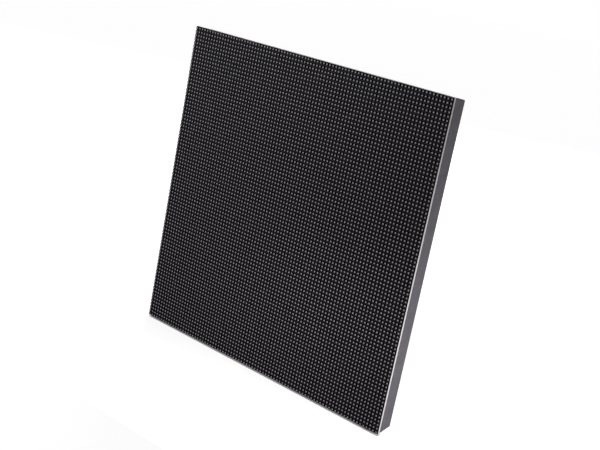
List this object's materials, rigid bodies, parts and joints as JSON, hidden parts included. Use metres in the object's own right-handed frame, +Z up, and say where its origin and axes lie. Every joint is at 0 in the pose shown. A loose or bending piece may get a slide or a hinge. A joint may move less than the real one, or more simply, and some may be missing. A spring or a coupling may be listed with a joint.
{
  "type": "rgb led matrix panel",
  "caption": "Square, flat LED display module: a fine grid of surface-mount colour LEDs on a black circuit board, on a ribbed plastic rear frame with threaded inserts and cable sockets.",
  "frame": {"origin": "centre of the mounting plane, which is the back of the rear frame and the mouths of its inserts", "axes": "LEDs face -Y, +Y points to the wall or cabinet behind, +X is right as seen from the front, +Z is up"},
  "size_m": [0.2498, 0.0207, 0.2498],
  "materials": {
    "led_black": "matt black moulded LED bodies",
    "led_resin": "milky grey resin",
    "board": "glass-epoxy laminate with matt black solder mask, pale sawn edge",
    "frame": "glass-filled plastic, fine moulded grain",
    "insert_brass": "turned brass",
    "pin_steel": "ground steel dowel",
    "nut_tin": "tin-plated",
    "screw_steel": "nickel-plated, cross recess",
    "socket_black": "black moulded nylon",
    "pin_gold": "gold flash",
    "header_ivory": "ivory moulded nylon",
    "pin_tin": "tin-plated",
    "chip_black": "black moulding compound",
    "can_aluminium": "drawn aluminium",
    "can_base_black": "black moulded base",
    "ceramic_tan": "tan ceramic with tinned ends",
    "array_black": "black glazed ceramic with tinned ends"
  },
  "bodies": {
    "root": {"led_rows": "led_black", "led_windows": "led_resin", "led_board": "board", "rear_frame": "frame", "mounting_inserts": "insert_brass", "locating_pins": "pin_steel", "board_nuts": "nut_tin", "frame_screws": "screw_steel", "data_input_shroud": "socket_black", "data_output_shroud": "socket_black", "data_input_pins": "pin_gold", "data_output_pins": "pin_gold", "power_header": "header_ivory", "power_pins": "pin_tin", "capacitor_cans": "can_aluminium", "capacitor_bases": "can_base_black", "driver_chips": "chip_black", "row_switch_chips": "chip_black", "buffer_chips": "chip_black", "memory_chip": "chip_black", "ceramic_capacitors": "ceramic_tan", "resistor_arrays": "array_black"}
  },
  "joints": []
}
